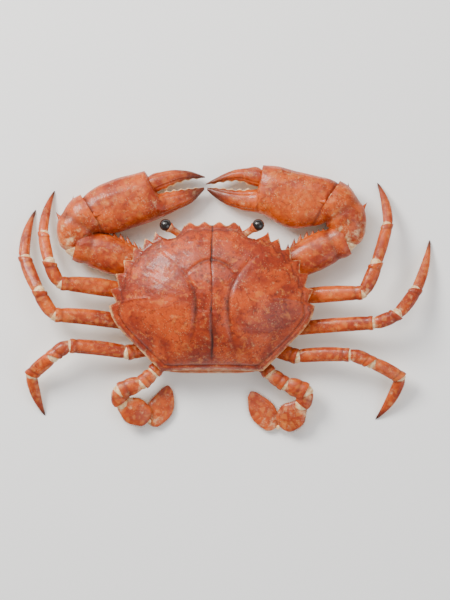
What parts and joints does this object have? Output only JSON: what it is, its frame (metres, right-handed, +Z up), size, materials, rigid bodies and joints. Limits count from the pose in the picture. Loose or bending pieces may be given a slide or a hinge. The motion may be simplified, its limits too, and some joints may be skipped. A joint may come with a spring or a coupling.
{
  "type": "cooked crab",
  "caption": "Whole cooked mud crab lying on its belly, broad toothed shell, large claws folded to meet in front, walking legs at the sides and flat paddles behind.",
  "frame": {"origin": "on the flat of the belly, on the ground, just behind the middle of the shell", "axes": "+X to the crab's right, across the spread legs; +Y to its front, the way the eyes and claws point; +Z up"},
  "size_m": [0.3015, 0.1954, 0.0541],
  "materials": {
    "shell": "cooked shell, satin, orange-red with fine mottling",
    "belly": "cooked underside, cream washed with orange",
    "claw": "cooked claw shell, satin, orange-red",
    "leg": "cooked leg shell, satin, orange-red",
    "eye": "glossy black"
  },
  "bodies": {
    "root": {"top_shell": "shell", "underbody": "belly", "tail_flap": "belly", "eye_left": "eye", "eye_right": "eye", "claw_left_hip": "claw", "claw_left_arm": "claw", "claw_left_wrist": "claw", "claw_left_hand": "claw", "claw_left_finger": "claw", "claw_right_hip": "claw", "claw_right_arm": "claw", "claw_right_wrist": "claw", "claw_right_hand": "claw", "claw_right_finger": "claw", "leg_left_1_hip": "leg", "leg_left_1_thigh": "leg", "leg_left_1_knee": "leg", "leg_left_1_shin": "leg", "leg_left_1_toe": "leg", "leg_left_2_hip": "leg", "leg_left_2_thigh": "leg", "leg_left_2_knee": "leg", "leg_left_2_shin": "leg", "leg_left_2_toe": "leg", "leg_left_3_hip": "leg", "leg_left_3_thigh": "leg", "leg_left_3_knee": "leg", "leg_left_3_shin": "leg", "leg_left_3_toe": "leg", "leg_right_1_hip": "leg", "leg_right_1_thigh": "leg", "leg_right_1_knee": "leg", "leg_right_1_shin": "leg", "leg_right_1_toe": "leg", "leg_right_2_hip": "leg", "leg_right_2_thigh": "leg", "leg_right_2_knee": "leg", "leg_right_2_shin": "leg", "leg_right_2_toe": "leg", "leg_right_3_hip": "leg", "leg_right_3_thigh": "leg", "leg_right_3_knee": "leg", "leg_right_3_shin": "leg", "leg_right_3_toe": "leg", "paddle_left_root": "leg", "paddle_left_hip": "leg", "paddle_left_thigh": "leg", "paddle_left_knee": "leg", "paddle_left_shin": "leg", "paddle_left_blade": "leg", "paddle_right_root": "leg", "paddle_right_hip": "leg", "paddle_right_thigh": "leg", "paddle_right_knee": "leg", "paddle_right_shin": "leg", "paddle_right_blade": "leg"}
  },
  "joints": []
}
